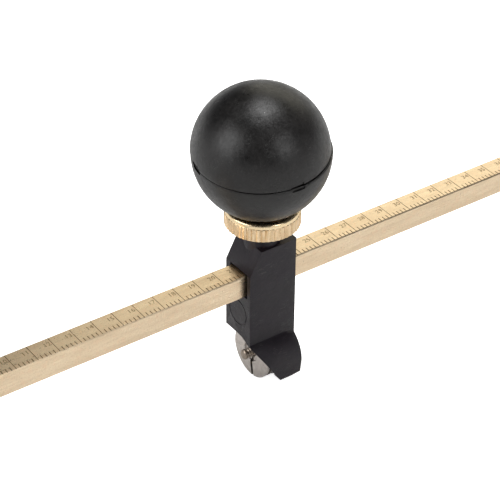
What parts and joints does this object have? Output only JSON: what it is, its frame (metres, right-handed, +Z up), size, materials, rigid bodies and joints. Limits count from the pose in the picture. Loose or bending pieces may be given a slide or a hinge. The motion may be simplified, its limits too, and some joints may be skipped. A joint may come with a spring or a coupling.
{
  "type": "circle glass cutter",
  "caption": "Circle cutter for glass: a square scaled bar turns on a suction cup and carries a sliding head with a ball handle, knurled lock nut and wheel turret.",
  "frame": {"origin": "middle of the overall box, on the glass that the suction cup and the cutting wheel stand on", "axes": "+X along the bar from the suction cup to the bar's free end, +Z up, +Y across the bar, away from the viewer"},
  "size_m": [0.233, 0.05, 0.0726],
  "materials": {
    "cup_rubber": "satin black rubber",
    "hub_plastic": "satin black moulded plastic",
    "head_plastic": "satin black moulded plastic with a fine grain",
    "ball_plastic": "semi-gloss black moulded plastic",
    "bar_brass": "drawn brass, engraved scale on the top face",
    "nut_brass": "turned and knurled bright brass",
    "insert_brass": "plain turned brass",
    "turret_nickel": "dull nickel plate",
    "screw_steel": "bright zinc-plated steel",
    "washer_nylon": "natural nylon",
    "wheel_carbide": "ground carbide"
  },
  "bodies": {
    "base": {"suction_cup": "cup_rubber", "cup_insert": "insert_brass", "thrust_washer": "washer_nylon", "pivot_screw": "screw_steel"},
    "arm": {"pivot_hub": "hub_plastic", "pivot_cap": "hub_plastic", "pivot_bush_lower": "insert_brass", "pivot_bush_upper": "insert_brass", "bar_set_screw_1": "screw_steel", "bar_set_screw_2": "screw_steel", "scaled_bar": "bar_brass"},
    "head": {"head_body": "head_plastic", "threaded_insert": "insert_brass", "turret_screw": "turret_nickel", "turret_nut": "turret_nickel", "turret_washer": "screw_steel"},
    "pad": {"pressure_pad": "insert_brass"},
    "handle": {"clamp_spindle": "screw_steel", "ball_lower": "ball_plastic", "ball_upper": "ball_plastic", "ball_insert": "insert_brass"},
    "washer": {"lock_washer": "screw_steel"},
    "nut": {"lock_nut": "nut_brass"},
    "turret": {"wheel_turret": "turret_nickel", "wheel_pin_1": "screw_steel", "wheel_pin_2": "screw_steel", "wheel_pin_3": "screw_steel", "wheel_pin_4": "screw_steel", "wheel_pin_5": "screw_steel", "wheel_pin_6": "screw_steel"},
    "wheel_1": {"cutting_wheel_1": "wheel_carbide"},
    "wheel_2": {"cutting_wheel_2": "wheel_carbide"},
    "wheel_3": {"cutting_wheel_3": "wheel_carbide"},
    "wheel_4": {"cutting_wheel_4": "wheel_carbide"},
    "wheel_5": {"cutting_wheel_5": "wheel_carbide"},
    "wheel_6": {"cutting_wheel_6": "wheel_carbide"}
  },
  "joints": [
    {"name": "pivot_turn", "type": "hinge", "parent": "base", "child": "arm", "pos_m": [-0.0915, 0, 0.0274], "axis": [0, 0, 1], "continuous": true},
    {"name": "head_slide", "type": "slide", "parent": "arm", "child": "head", "axis": [1, 0, 0], "range_m": [-0.076, 0.088]},
    {"name": "clamp_travel", "type": "slide", "parent": "head", "child": "pad", "axis": [0, 0, 1], "range_m": [0, 0.0014]},
    {"name": "handle_turn", "type": "hinge", "parent": "pad", "child": "handle", "pos_m": [0.0199, 0, 0.0274], "axis": [0, 0, 1], "range_deg": [0, 720]},
    {"name": "lock_nut_travel", "type": "slide", "parent": "handle", "child": "washer", "axis": [0, 0, 1], "range_m": [0, 0.000175]},
    {"name": "lock_nut_turn", "type": "hinge", "parent": "washer", "child": "nut", "pos_m": [0.0199, 0, 0.0274], "axis": [0, 0, 1], "range_deg": [0, 90]},
    {"name": "turret_turn", "type": "hinge", "parent": "head", "child": "turret", "pos_m": [0.0199, 0, 0.0066], "axis": [1, 0, 0], "continuous": true},
    {"name": "wheel_1_spin", "type": "hinge", "parent": "turret", "child": "wheel_1", "pos_m": [0.01985, 0, 0.0017], "axis": [1, 0, 0], "continuous": true},
    {"name": "wheel_2_spin", "type": "hinge", "parent": "turret", "child": "wheel_2", "pos_m": [0.01985, -0.00424, 0.00415], "axis": [1, 0, 0], "continuous": true},
    {"name": "wheel_3_spin", "type": "hinge", "parent": "turret", "child": "wheel_3", "pos_m": [0.01985, -0.00424, 0.00905], "axis": [1, 0, 0], "continuous": true},
    {"name": "wheel_4_spin", "type": "hinge", "parent": "turret", "child": "wheel_4", "pos_m": [0.01985, 0, 0.0115], "axis": [1, 0, 0], "continuous": true},
    {"name": "wheel_5_spin", "type": "hinge", "parent": "turret", "child": "wheel_5", "pos_m": [0.01985, 0.00424, 0.00905], "axis": [1, 0, 0], "continuous": true},
    {"name": "wheel_6_spin", "type": "hinge", "parent": "turret", "child": "wheel_6", "pos_m": [0.01985, 0.00424, 0.00415], "axis": [1, 0, 0], "continuous": true}
  ],
  "couplings": [
    {"joint": "clamp_travel", "follows": "handle_turn", "m_per_rad": 0.00011141},
    {"joint": "lock_nut_turn", "follows": "lock_nut_travel", "rad_per_m": 8976}
  ]
}
